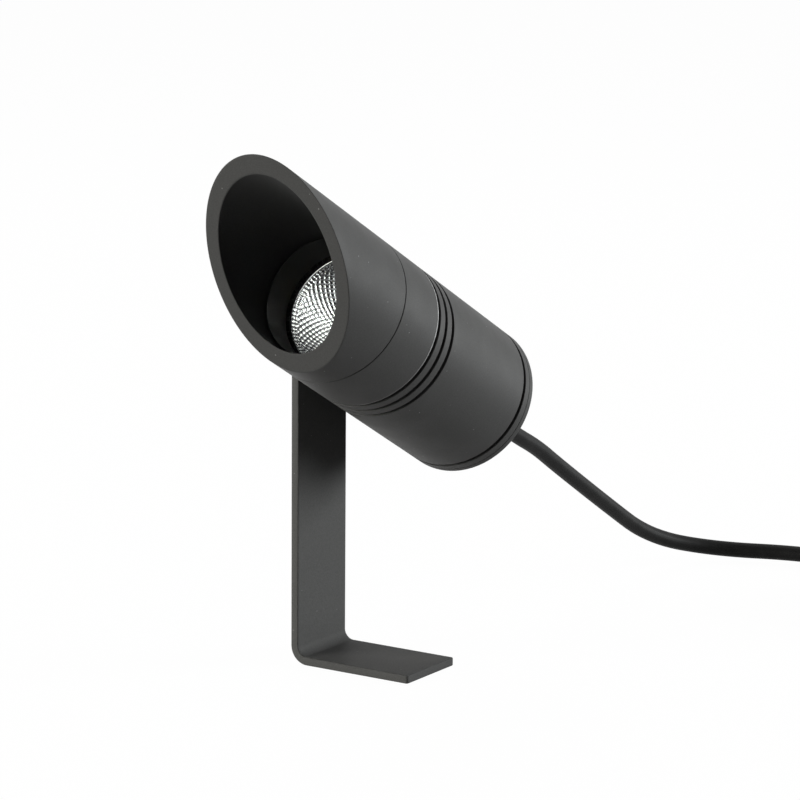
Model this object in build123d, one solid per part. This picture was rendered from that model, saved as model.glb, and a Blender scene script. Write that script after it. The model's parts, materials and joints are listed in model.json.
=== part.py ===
from build123d import *
import math
import os

# Landscape spotlight: a grooved barrel lamp with an angled hood, tilting on a bent strip bracket,
# with its supply lead. Millimetres and degrees, Z up, the lamp looks towards -Y.
# The origin is the centre of the flat underside of the bracket's foot.

# Bracket: one bent strip, a plain foot and an upright with a half-round top
strip_width = 32.8
strip_thickness = 3.2
bend_radius = 4.0
foot_length = 50.3
foot_corner_radius = 1.0
hinge_height = 124.2
strip_edge_radius = 0.4

# Barrel outside, with stations along its axis measured from the hinge
barrel_diameter = 60.0
barrel_gap = 3.5
tilt = 28.6
body_front = 47.5
body_rear = 52.6
edge_break = 0.4
cut_overshoot = 1.0
groove_edge_break = 0.2
groove_width = 1.5
groove_depth = 2.0
first_groove = 10.9
groove_pitch = 5.3
groove_count = 3
rear_groove_inset = 4.25

# Barrel inside: a rear chamber, a web that carries the light engine, an optic chamber
rear_wall = 5.0
optic_wall = 7.0
web_rear = 9.0
web_thickness = 5.0

# Hood and the spigot that it turns on
hood_short_side = 11.0
hood_cut_angle = 46.0
hood_wall = 5.4
hood_skirt = 2.0
hood_seam = 0.3
hood_rim_break = 0.35
spigot_length = 7.0
spigot_wall = 2.5
ring_section = 1.8
ring_squeeze = 0.05

# Glass, bezel and reflector
bezel_depth = 11.0
bezel_lip = 0.85
bezel_land = 2.5
glass_thickness = 3.0
glass_clearance = 0.2
gasket_thickness = 1.0
gasket_overlap = 0.5
reflector_neck_radius = 8.0
reflector_wall = 1.0
reflector_rim_land = 0.5
reflector_rim_thickness = 1.2

# Light engine on the front of the web
pad_thickness = 0.5
board_width = 26.0
board_corner = 5.0
board_thickness = 1.6
board_screw_inset = 3.4
solder_strip = 2.5
emitter_inset = 1.0
emitter_thickness = 1.0
holder_inset = 0.5
holder_ledge = 1.5
holder_height = 3.0

# Driver on the rear of the web
driver_width = 26.0
driver_height = 20.0
driver_length = 32.0
driver_corner = 2.0
tab_reach = 7.0
tab_width = 8.0
tab_thickness = 3.0
terminal_width = 18.0
terminal_height = 10.0
terminal_length = 8.0
terminal_corner = 1.0

# Small screws and the wires inside
screw_radius = 1.5
screw_head_radius = 2.75
screw_head_height = 2.2
screw_head_round = 0.7
screw_socket_flats = 2.0
screw_socket_depth = 1.1
web_skin = 1.0
thread_clearance = 0.05
led_wire_radius = 0.6
led_wire_gap = 1.2
led_wire_side = 4.0
led_wire_clearance = 4.0
led_wire_exit = 3.0
led_wire_bend = 1.6
wire_hole_room = 0.8
earth_ring_radius = 4.0
earth_ring_thickness = 0.8
earth_lug_room = 0.5
earth_crimp_radius = 1.7
earth_crimp_length = 7.0

# Rear cap
cap_thickness = 2.8
cap_spigot_length = 6.0
cap_hollow_radius = 16.0
lug_inset = 3.5
lug_radius = 4.0
lug_floor = 3.0
cap_screw_count = 3
cap_screw_recess = 3.0
cap_screw_bite = 8.5
head_clearance = 0.3

# Tilt joint
pivot_radius = 3.0
running_clearance = 0.06
spot_depth = 1.5
spacer_radius = 8.0
boss_radius = 7.5
bolt_grip = 7.5
friction_washer_thickness = 0.8
flat_washer_radius = 7.0
flat_washer_thickness = 1.2
spring_washer_radius = 5.6
spring_washer_thickness = 1.6
spring_washer_slit = 1.2
bolt_head_radius = 5.0
bolt_head_height = 6.0
bolt_socket_flats = 5.0
bolt_socket_depth = 3.0

# Cable gland
gland_shoulder = 1.0
gland_flange = 5.0
gland_thread_radius = 6.0
gland_neck_wall = 0.85
gland_neck_length = 6.0
gland_seat_depth = 2.4
locknut_wall = 1.5
locknut_thickness = 4.0
gland_nut_length = 11.0
gland_nut_dome = 2.6
seal_wall = 1.45
seal_tip_wall = 0.65
seal_tail = 20.0

# Supply lead, its bare end and the tie on its coil
cord_diameter = 6.5
cord_entry_reach = 13.4
core_diameter = 2.2
core_gap = 0.4
core_bend = 4.4
earth_bend = 1.4
core_length = 28.0
core_straight = 4.0
core_fan = 8.0
ferrule_wall = 0.6
ferrule_collar_length = 4.0
ferrule_pin_radius = 0.8
ferrule_pin_length = 6.0
ferrule_lap = 3.0
coil_centre = (130.5, 196.0)
coil_start_radius = 42.0
coil_start_angle = 86.0
coil_turns_in = 2.0
coil_turns_out = 1.33
coil_gap = 0.5
tie_angle = 210.0
tie_width = 8.0
tie_thickness = 0.8
tie_clearance = 0.4
tie_lift = 0.05
tie_lock_height = 1.6
tie_lock_length = 5.4
tie_lock_inset = 1.0

# The lead's route from the gland's tail to the coil, points chosen by hand
route_in_air = [
    (6.35, 89.0, 75.67), (6.35, 104.0, 68.5), (6.35, 120.0, 58.6), (6.35, 160.0, 35.0), (8.0, 196.0, 13.5),
]
route_on_floor = [(24.0, 226.0), (58.0, 240.0), (98.8, 241.2)]

# Places that follow from the sizes above
barrel_radius = barrel_diameter / 2
strip_inner_x = -(bend_radius + foot_length) / 2
strip_outer_x = strip_inner_x - strip_thickness
foot_end_x = strip_inner_x + foot_length
axis_x = strip_inner_x + barrel_gap + barrel_radius
head_place = Location((axis_x, 0, hinge_height), (90 - tilt, 0, 0))

rear_bore = barrel_radius - rear_wall
optic_bore = barrel_radius - optic_wall
web_front = web_rear + web_thickness
hood_socket = barrel_radius - hood_skirt
hood_bore = barrel_radius - hood_wall
spigot_radius = hood_socket - running_clearance
spigot_front = body_front + spigot_length
ring_bore = spigot_radius - spigot_wall
glass_front = spigot_front - bezel_depth
glass_back = glass_front - glass_thickness
ledge = glass_back - gasket_thickness
pad_front = web_front + pad_thickness
board_front = pad_front + board_thickness
neck_station = board_front + holder_ledge
holder_front = board_front + holder_height
reflector_mouth = optic_bore - glass_clearance - reflector_rim_land
screw_grip = web_thickness - web_skin
emitter_radius = reflector_neck_radius - emitter_inset
holder_width = board_width - 2 * solder_strip
solder_row = (board_width - solder_strip) / 2
cap_back = -(body_rear + cap_thickness)
cap_inside = -(body_rear - cap_spigot_length)
cap_spigot = rear_bore - thread_clearance
lug_circle = rear_bore - lug_inset
lug_length = cap_screw_bite + lug_floor
driver_back = web_rear - driver_length
terminal_back = driver_back - terminal_length
spot_face = barrel_radius - spot_depth
boss_end = spot_face - bolt_grip
gland_flange_back = cap_back - gland_flange
gland_neck_back = gland_flange_back - gland_neck_length
gland_nut_back = gland_flange_back - gland_nut_length
tail_end = gland_nut_back - seal_tail
gland_inside = locknut_thickness - body_rear
gland_flats = 2 * (gland_thread_radius + gland_shoulder)
locknut_flats = 2 * (gland_thread_radius + locknut_wall)
cord_radius = cord_diameter / 2
seal_bore = cord_radius + thread_clearance
seal_radius = cord_radius + seal_wall
gland_neck_radius = seal_radius + thread_clearance + gland_neck_wall
cord_end_inside = cap_back + cord_entry_reach
core_offset = (core_diameter + core_gap) / math.sqrt(3)
led_wire_across = tab_width / 2 + led_wire_side
led_wire_lift = board_width / 2 + led_wire_clearance
wire_hole_radius = led_wire_gap / 2 + 2 * led_wire_radius + wire_hole_room
earth_place = (
    -(tab_width / 2 + earth_ring_radius + earth_lug_room),
    -(driver_height / 2 + earth_ring_radius + earth_lug_room),
)
earth_crimp_place = (
    -(driver_width / 2 + earth_crimp_radius + earth_lug_room),
    -(driver_height / 2 + earth_crimp_radius),
)
floor_line = cord_radius + tie_clearance + tie_thickness + tie_lift
coil_pitch = cord_diameter + coil_gap


# Helpers for turned, flat and round shapes about the local Z axis
def disc(radius, start, end):
    return Pos(0, 0, start) * Cylinder(radius, end - start, align=(Align.CENTER, Align.CENTER, Align.MIN))


def ring(outer, inner, start, end):
    return disc(outer, start, end) - disc(inner, start, end)


def turned(*profile):
    """A solid turned about Z from a closed outline of (radius, station) points."""
    outline = Polyline(*[(radius, 0, station) for radius, station in profile], close=True)
    return revolve(make_face(outline), axis=Axis.Z)


def plate(length, width, corner, start, end):
    return extrude(Pos(0, 0, start) * RectangleRounded(length, width, corner), amount=end - start)


def hexagon(flats, start, end):
    outline = RegularPolygon(flats / 2, 6, major_radius=False)
    return extrude(Pos(0, 0, start) * outline, amount=end - start)


def rod(start, end, radius):
    run = Vector(*end) - Vector(*start)
    height = Cylinder(radius, run.length, align=(Align.CENTER, Align.CENTER, Align.MIN))
    return Plane(origin=start, z_dir=run) * height


def round_tube(path, radius):
    """A round section carried along a path of lines and arcs."""
    return sweep(Plane(origin=path @ 0, z_dir=path % 0) * Circle(radius), path=path)


def group(solids):
    return Compound(children=list(solids))


def small_screw(length):
    """A round-headed screw along Z, its head above zero and its shank below."""
    head = disc(screw_head_radius, 0, screw_head_height)
    head = fillet(head.edges().sort_by(Axis.Z)[-1], screw_head_round)
    socket = hexagon(screw_socket_flats, screw_head_height - screw_socket_depth, screw_head_height)
    return head + disc(screw_radius, -length, 0) - socket


# Bracket
def make_bracket():
    outline = [
        (strip_outer_x, 0),
        (foot_end_x, 0),
        (foot_end_x, strip_thickness),
        (strip_inner_x, strip_thickness),
        (strip_inner_x, hinge_height + strip_width),
        (strip_outer_x, hinge_height + strip_width),
    ]
    side = make_face(Polyline(*[(x, 0, z) for x, z in outline], close=True))
    strip = extrude(side, amount=strip_width / 2, both=True)
    lengthwise = strip.edges().filter_by(Axis.Y)
    outer_bend = lengthwise.sort_by_distance((strip_outer_x, 0, 0))[0]
    strip = fillet(outer_bend, bend_radius + strip_thickness)
    lengthwise = strip.edges().filter_by(Axis.Y)
    inner_bend = lengthwise.sort_by_distance((strip_inner_x, 0, strip_thickness))[0]
    strip = fillet(inner_bend, bend_radius)
    tip_corners = strip.edges().filter_by(Axis.Z).sort_by(Axis.X)[-2:]
    strip = fillet(tip_corners, foot_corner_radius)
    across = Plane(origin=(strip_outer_x - cut_overshoot, 0, 0), x_dir=(0, 1, 0), z_dir=(1, 0, 0))
    round_top = Pos(0, hinge_height / 2) * Rectangle(strip_width, hinge_height)
    round_top += Pos(0, hinge_height) * Circle(strip_width / 2)
    strip = strip & extrude(across * round_top, amount=foot_length + strip_thickness + 2 * cut_overshoot)
    strip = fillet(strip.edges().filter_by(on_strip_rim), strip_edge_radius)
    hole = Cylinder(pivot_radius + running_clearance, 3 * strip_thickness)
    return strip - Pos(strip_outer_x, 0, hinge_height) * Rot(0, 90, 0) * hole


def on_strip_rim(edge):
    """True for the edges round the strip's two faces, not for those across its thickness or its width."""
    if edge.geom_type != GeomType.LINE:
        return True
    crosses_thickness = math.isclose(edge.length, strip_thickness, abs_tol=thread_clearance)
    crosses_width = math.isclose(edge.length, strip_width, abs_tol=thread_clearance)
    return not crosses_thickness and not crosses_width


# Barrel housing
def groove_outline(station):
    """One groove with broken edges, as points of the barrel's outline from rear to front."""
    floor = barrel_radius - groove_depth
    half = groove_width / 2
    lip = half + groove_edge_break
    shoulder = barrel_radius - groove_edge_break
    rear_side = [(barrel_radius, station - lip), (shoulder, station - half), (floor, station - half)]
    front_side = [(floor, station + half), (shoulder, station + half), (barrel_radius, station + lip)]
    return rear_side + front_side


def make_body():
    stations = [rear_groove_inset - body_rear]
    stations += [first_groove + groove_pitch * k for k in range(groove_count)]
    grooves = [point for station in stations for point in groove_outline(station)]
    body = turned(
        (0, web_rear),
        (rear_bore, web_rear),
        (rear_bore, -body_rear),
        (barrel_radius - edge_break, -body_rear),
        (barrel_radius, edge_break - body_rear),
        *grooves,
        (barrel_radius, body_front - edge_break),
        (barrel_radius - edge_break, body_front),
        (spigot_radius, body_front),
        (spigot_radius, spigot_front),
        (ring_bore, spigot_front),
        (ring_bore, ledge),
        (optic_bore, ledge),
        (optic_bore, web_front),
        (0, web_front),
    )
    body -= ring_groove(spigot_radius, body_front + spigot_length / 2)
    # Boss for the tilt bolt, with its spot face outside
    out_of_side = Rot(0, -90, 0)
    body += out_of_side * disc(boss_radius, boss_end, spot_face)
    body -= out_of_side * disc(spacer_radius + head_clearance, spot_face, barrel_radius + cut_overshoot)
    body -= out_of_side * disc(pivot_radius + thread_clearance, boss_end - cut_overshoot, barrel_radius)
    # Lugs for the cap screws
    hole_end = cap_inside + cap_screw_bite + web_skin
    for place in cap_screw_places():
        body += place * disc(lug_radius, cap_inside, cap_inside + lug_length)
        body -= place * disc(screw_radius + thread_clearance, cap_inside, hole_end)
    # Threaded holes in both faces of the web, and the way through for the light engine's wires
    tapped = disc(screw_radius + thread_clearance, 0, screw_grip + thread_clearance)
    for side in (-1, 1):
        body -= Pos(side * holder_screw_reach(), 0, web_front - screw_grip - thread_clearance) * tapped
        body -= Pos(0, side * driver_screw_reach(), web_rear) * tapped
    body -= Pos(*earth_place, web_rear) * tapped
    body -= Pos(led_wire_across, led_wire_lift, 0) * disc(wire_hole_radius, web_rear, web_front)
    return body


def ring_groove(spigot, station):
    """The groove for a sealing ring, cut into a spigot."""
    width = ring_section + 2 * running_clearance
    outside = spigot + cut_overshoot
    return ring(outside, spigot - ring_depth(), station - width / 2, station + width / 2)


def ring_depth():
    return ring_section - ring_squeeze


def sealing_ring(socket, spigot, station):
    """A round-section ring between the bottom of its groove and the socket around it."""
    inner = spigot - ring_depth() + running_clearance / 2
    outer = socket - running_clearance / 2
    return Pos(0, 0, station) * Torus((inner + outer) / 2, (outer - inner) / 2)


def driver_screw_reach():
    return driver_height / 2 + tab_reach / 2


def cap_screw_places():
    step = 360 / cap_screw_count
    return [Rot(0, 0, 90 + step * k) * Pos(lug_circle, 0, 0) for k in range(cap_screw_count)]


# Hood: a tube over the spigot, cut at a slant so that its long side is on top
def make_hood():
    rear = body_front + hood_seam
    slant_reach = barrel_radius * math.tan(math.radians(hood_cut_angle))
    cut_station = body_front + hood_short_side + slant_reach
    front = cut_station + slant_reach + cut_overshoot
    hood = turned(
        (hood_socket, rear),
        (barrel_radius - edge_break, rear),
        (barrel_radius, rear + edge_break),
        (barrel_radius, front),
        (hood_bore, front),
        (hood_bore, spigot_front + hood_seam),
        (hood_socket, spigot_front + hood_seam),
    )
    wide = 8 * barrel_radius
    in_front = Box(wide, wide, wide, align=(Align.CENTER, Align.CENTER, Align.MIN))
    hood -= Pos(0, 0, cut_station) * Rot(hood_cut_angle, 0, 0) * in_front
    rim = hood.edges().filter_by(GeomType.ELLIPSE)
    return chamfer(rim, hood_rim_break)


# Optics
def make_bezel_ring():
    outer = ring_bore - thread_clearance
    return turned(
        (outer, glass_front),
        (outer, spigot_front),
        (outer - bezel_lip, spigot_front),
        (outer - bezel_land, glass_front),
    )


def bowl_radius(station):
    """The reflector's inner radius: a parabola from its neck to its mouth."""
    share = (station - neck_station) / (ledge - neck_station)
    squared = reflector_neck_radius**2 * (1 - share) + reflector_mouth**2 * share
    return math.sqrt(squared)


def holder_screw_reach():
    """How far the holder's screws stand from the axis, with their heads clear of the reflector."""
    beside_head = bowl_radius(holder_front + screw_head_height) + reflector_wall
    return beside_head + head_clearance + screw_head_radius


def board_length():
    return 2 * (holder_screw_reach() + board_screw_inset)


def make_reflector():
    middle = (neck_station + ledge) / 2
    rim_back = ledge - reflector_rim_thickness
    rim_radius = optic_bore - glass_clearance
    outside_middle = (neck_station + rim_back) / 2
    inside = ThreePointArc(
        (reflector_neck_radius, 0, neck_station),
        (bowl_radius(middle), 0, middle),
        (reflector_mouth, 0, ledge),
    )
    outside = ThreePointArc(
        (reflector_neck_radius + reflector_wall, 0, neck_station),
        (bowl_radius(outside_middle) + reflector_wall, 0, outside_middle),
        (bowl_radius(rim_back) + reflector_wall / 2, 0, rim_back),
    )
    edges = [
        inside,
        Line(inside @ 1, (rim_radius, 0, ledge)),
        Line((rim_radius, 0, ledge), (rim_radius, 0, rim_back)),
        Line((rim_radius, 0, rim_back), outside @ 1),
        outside,
        Line(outside @ 0, inside @ 0),
    ]
    return revolve(make_face(edges), axis=Axis.Z)


# Light engine
def holder_screw_holes(radius, start, end):
    return [Pos(side * holder_screw_reach(), 0, 0) * disc(radius, start, end) for side in (-1, 1)]


def make_thermal_pad():
    pad = plate(board_length(), board_width, board_corner, web_front, pad_front)
    return pad - holder_screw_holes(screw_radius + head_clearance, web_front, pad_front)


def make_led_board():
    board = plate(board_length(), board_width, board_corner, pad_front, board_front)
    return board - holder_screw_holes(screw_radius + head_clearance, pad_front, board_front)


def make_led_holder():
    length = board_length() - 2 * holder_inset
    holder = plate(length, holder_width, board_corner, board_front, holder_front)
    socket = bowl_radius(holder_front) + reflector_wall + head_clearance
    holder -= disc(socket, neck_station, holder_front)
    holder -= disc(reflector_neck_radius, board_front, neck_station)
    return holder - holder_screw_holes(screw_radius + head_clearance, board_front, holder_front)


def make_holder_screws():
    length = holder_front - web_front + screw_grip
    reach = holder_screw_reach()
    return [Pos(side * reach, 0, holder_front) * small_screw(length) for side in (-1, 1)]


def make_led_leads():
    wires = []
    for side in (-1, 1):
        across = led_wire_across + side * (led_wire_gap / 2 + led_wire_radius)
        leaves_driver = web_rear - tab_thickness - led_wire_exit
        route = FilletPolyline(
            (across, driver_height / 2, leaves_driver),
            (across, led_wire_lift, leaves_driver),
            (across, led_wire_lift, holder_front + led_wire_radius),
            (across, solder_row, holder_front + led_wire_radius),
            (across, solder_row, board_front),
            radius=led_wire_bend,
        )
        wires.append(round_tube(route, led_wire_radius))
    return wires


# Driver
def make_driver_case():
    case = plate(driver_width, driver_height, driver_corner, driver_back, web_rear)
    tabs = plate(tab_width, driver_height + 2 * tab_reach, driver_corner, web_rear - tab_thickness, web_rear)
    case += tabs
    for side in (-1, 1):
        hole = disc(screw_radius + head_clearance, web_rear - tab_thickness, web_rear)
        case -= Pos(0, side * driver_screw_reach(), 0) * hole
    return case


def make_driver_screws():
    seat = web_rear - tab_thickness
    screw = Rot(180, 0, 0) * small_screw(tab_thickness + screw_grip)
    return [Pos(0, side * driver_screw_reach(), seat) * screw for side in (-1, 1)]


def make_terminal_block():
    return plate(terminal_width, terminal_height, terminal_corner, terminal_back, driver_back)


def make_supply_cores():
    cores = []
    for side in (-1, 1):
        start = (side * core_offset, core_offset / 2, cord_end_inside + head_clearance)
        end = (side * terminal_width / 4, 0, terminal_back - head_clearance)
        cores.append(rod(start, end, core_diameter / 2))
    return cores


def make_earth_lug():
    front = web_rear
    back = front - earth_ring_thickness
    crimp_x, crimp_y = earth_crimp_place
    lug = Pos(*earth_place, 0) * disc(earth_ring_radius, back, front)
    crimp = Pos(crimp_x, crimp_y, 0)
    lug += crimp * disc(earth_crimp_radius, back - earth_crimp_length, front)
    middle = ((earth_place[0] + crimp_x) / 2, (earth_place[1] + crimp_y) / 2)
    reach = math.hypot(crimp_x - earth_place[0], crimp_y - earth_place[1])
    turn = math.degrees(math.atan2(crimp_y - earth_place[1], crimp_x - earth_place[0]))
    strap = Pos(*middle, 0) * Rot(0, 0, turn) * Rectangle(reach, 2 * earth_crimp_radius)
    lug += extrude(Pos(0, 0, back) * strap, amount=earth_ring_thickness)
    lug -= Pos(*earth_place, 0) * disc(screw_radius + head_clearance, back, front)
    lug -= crimp * disc(core_diameter / 2 + thread_clearance, back - earth_crimp_length, back)
    return lug


def make_earth_screw():
    seat = web_rear - earth_ring_thickness
    return Pos(*earth_place, seat) * Rot(180, 0, 0) * small_screw(earth_ring_thickness + screw_grip)


def make_earth_lead():
    crimp_x, crimp_y = earth_crimp_place
    start = web_rear - earth_ring_thickness
    route = FilletPolyline(
        (crimp_x, crimp_y, start),
        (crimp_x, crimp_y, terminal_back),
        (0, -core_offset, cord_end_inside + core_diameter),
        (0, -core_offset, cord_end_inside),
        radius=earth_bend,
    )
    return round_tube(route, core_diameter / 2)


# Rear cap
def make_rear_cap():
    cap = turned(
        (gland_thread_radius + running_clearance, cap_back),
        (barrel_radius - edge_break, cap_back),
        (barrel_radius, cap_back + edge_break),
        (barrel_radius, -body_rear - edge_break),
        (barrel_radius - edge_break, -body_rear),
        (cap_spigot, -body_rear),
        (cap_spigot, cap_inside),
        (cap_hollow_radius, cap_inside),
        (cap_hollow_radius, -body_rear),
        (gland_thread_radius + running_clearance, -body_rear),
    )
    cap -= ring_groove(cap_spigot, -body_rear + cap_spigot_length / 2)
    for place in cap_screw_places():
        cap -= place * disc(screw_head_radius + head_clearance, cap_back, cap_back + cap_screw_recess)
        cap -= place * disc(screw_radius + head_clearance, cap_back, cap_inside)
    return cap


def make_cap_screws():
    seat = cap_back + cap_screw_recess
    screw = Rot(180, 0, 0) * small_screw(cap_inside - seat + cap_screw_bite)
    return [place * Pos(0, 0, seat) * screw for place in cap_screw_places()]


# Cable gland
def make_gland_body():
    gland = hexagon(gland_flats, gland_flange_back, cap_back)
    gland += disc(gland_thread_radius, cap_back, gland_inside)
    gland += disc(gland_neck_radius, gland_neck_back, gland_flange_back)
    gland -= disc(seal_bore, gland_flange_back, gland_inside)
    return gland - disc(seal_radius + thread_clearance, gland_neck_back, gland_flange_back + gland_seat_depth)


def make_gland_locknut():
    nut = hexagon(locknut_flats, -body_rear, -body_rear + locknut_thickness)
    return nut - disc(gland_thread_radius + thread_clearance, -body_rear, -body_rear + locknut_thickness)


def make_gland_seal():
    return turned(
        (seal_bore, gland_flange_back + gland_seat_depth),
        (seal_radius, gland_flange_back + gland_seat_depth),
        (seal_radius, gland_nut_back),
        (cord_radius + seal_tip_wall, tail_end),
        (seal_bore, tail_end),
    )


def make_gland_nut():
    corner = gland_flats / math.sqrt(3)
    dome = turned(
        (0, gland_flange_back),
        (corner, gland_flange_back),
        (corner, gland_nut_back + gland_nut_dome),
        (seal_radius + gland_nut_dome / 2, gland_nut_back),
        (0, gland_nut_back),
    )
    nut = hexagon(gland_flats, gland_nut_back, gland_flange_back) & dome
    nut -= disc(gland_neck_radius + thread_clearance, gland_neck_back - thread_clearance, gland_flange_back)
    return nut - disc(seal_radius + thread_clearance, gland_nut_back, gland_neck_back)


def make_cord_entry():
    return disc(cord_radius, tail_end, cord_end_inside)


# Tilt joint, from the barrel's side out through the strip
def on_pivot(start_x, outer, inner, thickness):
    """A ring about the hinge line that starts at start_x and runs outwards, towards -X."""
    return Pos(start_x, 0, hinge_height) * Rot(0, -90, 0) * ring(outer, inner, 0, thickness)


def make_pivot():
    bore = pivot_radius + thread_clearance
    spacer_start = axis_x - spot_face
    friction_start = strip_inner_x + running_clearance + friction_washer_thickness
    washer_start = strip_outer_x - running_clearance
    spring_start = washer_start - flat_washer_thickness
    head_start = spring_start - spring_washer_thickness
    pieces = {}
    pieces["pivot_spacer"] = on_pivot(spacer_start, spacer_radius, bore, spacer_start - friction_start)
    pieces["friction_washer"] = on_pivot(friction_start, spacer_radius, bore, friction_washer_thickness)
    pieces["flat_washer"] = on_pivot(washer_start, flat_washer_radius, bore, flat_washer_thickness)
    spring = on_pivot(spring_start, spring_washer_radius, bore, spring_washer_thickness)
    slit = Box(3 * spring_washer_thickness, spring_washer_slit, 2 * spring_washer_radius)
    slit = Pos(spring_start, 0, hinge_height + spring_washer_radius) * Rot(20, 0, 0) * slit
    pieces["spring_washer"] = spring - slit
    shank_start = axis_x - boss_end
    head = disc(bolt_head_radius, 0, bolt_head_height)
    head = fillet(head.edges().sort_by(Axis.Z)[-1], edge_break)
    head -= hexagon(bolt_socket_flats, bolt_head_height - bolt_socket_depth, bolt_head_height)
    bolt = head + disc(pivot_radius, head_start - shank_start, 0)
    pieces["pivot_bolt"] = Pos(head_start, 0, hinge_height) * Rot(0, -90, 0) * bolt
    return pieces


# Coil of the lead: a flat spiral in, a climb where it reverses, and a spiral out on top
def coil_point(turn):
    """The centre line after a number of turns, going clockwise seen from above."""
    if turn < coil_turns_in:
        radius = coil_start_radius - coil_pitch * turn
    else:
        radius = coil_start_radius - coil_pitch * (2 * coil_turns_in - turn)
    share = min(max((turn - coil_turns_in + 0.25) * 2, 0), 1)
    height = floor_line + coil_pitch * share * share * (3 - 2 * share)
    angle = math.radians(coil_start_angle - 360 * turn)
    x, y = coil_centre
    return Vector(x + radius * math.cos(angle), y + radius * math.sin(angle), height)


def coil_heading(turn):
    step = 0.0005
    return (coil_point(turn + step) - coil_point(turn - step)).normalized()


def biarc(start, start_heading, end, end_heading):
    """Two arcs that share a tangent, from one point and heading to another."""
    chord = end - start
    both = start_heading + end_heading
    a = 2 * (start_heading.dot(end_heading) - 1)
    b = -2 * chord.dot(both)
    c = chord.dot(chord)
    reach = (-b - math.sqrt(b * b - 4 * a * c)) / (2 * a)
    if reach < 0:
        reach = (-b + math.sqrt(b * b - 4 * a * c)) / (2 * a)
    joint = (start + start_heading * reach + end - end_heading * reach) * 0.5
    heading = (end - end_heading * reach) - (start + start_heading * reach)
    return [TangentArc(start, joint, tangent=start_heading), TangentArc(joint, end, tangent=heading)]


def make_coil():
    quarter = 0.25
    total = coil_turns_in + coil_turns_out
    count = math.ceil(total / quarter)
    turns = [total * k / count for k in range(count + 1)]
    edges = [Line(coil_start(), coil_point(0))]
    for first, last in zip(turns, turns[1:]):
        edges += biarc(coil_point(first), coil_heading(first), coil_point(last), coil_heading(last))
    edges.append(Line(coil_point(total), coil_end()))
    path = Wire(edges)
    tube = round_tube(path, cord_radius)
    report_tube("cord_coil", tube, path, cord_radius)
    print("cord_coil least gap to itself", round(coil_self_gap(), 3))
    return tube


def coil_start():
    return coil_point(0) - coil_heading(0) * cord_diameter


def coil_end():
    total = coil_turns_in + coil_turns_out
    return coil_point(total) + coil_heading(total) * cord_diameter


def coil_self_gap():
    """The least clear distance between stretches of the coil over a third of a turn apart."""
    per_turn = 180
    total = coil_turns_in + coil_turns_out
    points = [coil_point(k / per_turn) for k in range(int(total * per_turn) + 1)]
    apart = per_turn // 3
    least = min(
        (points[j] - points[i]).length
        for i in range(len(points))
        for j in range(i + apart, len(points))
    )
    return least - cord_diameter


def report_tube(name, tube, path, radius):
    expected = math.pi * radius * radius * path.length
    print(name, "length", round(path.length, 1), "volume share", round(tube.volume / expected, 4))


def make_coil_tie():
    """A flat strap round the turns at one place of the coil, with its small lock."""
    heading = math.radians(tie_angle)
    outward = Vector(math.cos(heading), math.sin(heading), 0)
    first = (coil_start_angle - tie_angle) % 360 / 360
    total = coil_turns_in + coil_turns_out
    crossings = [coil_point(first + k) for k in range(math.floor(total - first) + 1)]
    centre = Vector(*coil_centre, 0)
    reach = [(point - centre).dot(outward) for point in crossings]
    heights = [point.Z for point in crossings]
    room = cord_radius + tie_clearance
    inner_width = max(reach) - min(reach) + 2 * room
    inner_height = max(heights) - floor_line + 2 * room
    middle = centre + outward * ((max(reach) + min(reach)) / 2)
    middle += Vector(0, 0, (max(heights) + floor_line) / 2)
    section = Plane(origin=middle, x_dir=outward, z_dir=outward.cross(Vector(0, 0, 1)))
    outer = RectangleRounded(inner_width + 2 * tie_thickness, inner_height + 2 * tie_thickness, room)
    inner = RectangleRounded(inner_width, inner_height, room - tie_thickness)
    strap = extrude(section * (outer - inner), amount=tie_width / 2, both=True)
    lock = Box(tie_lock_height, tie_lock_length, tie_width - 2 * tie_lock_inset)
    lock_place = section * Pos(inner_width / 2 + (tie_thickness + tie_lock_height) / 2, 0, 0)
    return strap + lock_place * lock


# Free stretch of the lead
def make_lead():
    start = head_place * Pos(0, 0, tail_end - thread_clearance)
    end = coil_start() - coil_heading(0) * thread_clearance
    points = [start.position]
    points += [Vector(*point) for point in route_in_air]
    points += [Vector(x, y, floor_line) for x, y in route_on_floor]
    points.append(end)
    radii = []
    for before, here, after in zip(points, points[1:], points[2:]):
        turn = math.radians((here - before).get_angle(after - here))
        shorter = min((here - before).length, (after - here).length)
        radii.append(0.45 * shorter / math.tan(turn / 2))
    print("cord_lead radii", [round(radius, 1) for radius in radii])
    path = FilletPolyline(*points, radius=radii)
    tube = round_tube(path, cord_radius)
    report_tube("cord_lead", tube, path, cord_radius)
    return tube


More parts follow.
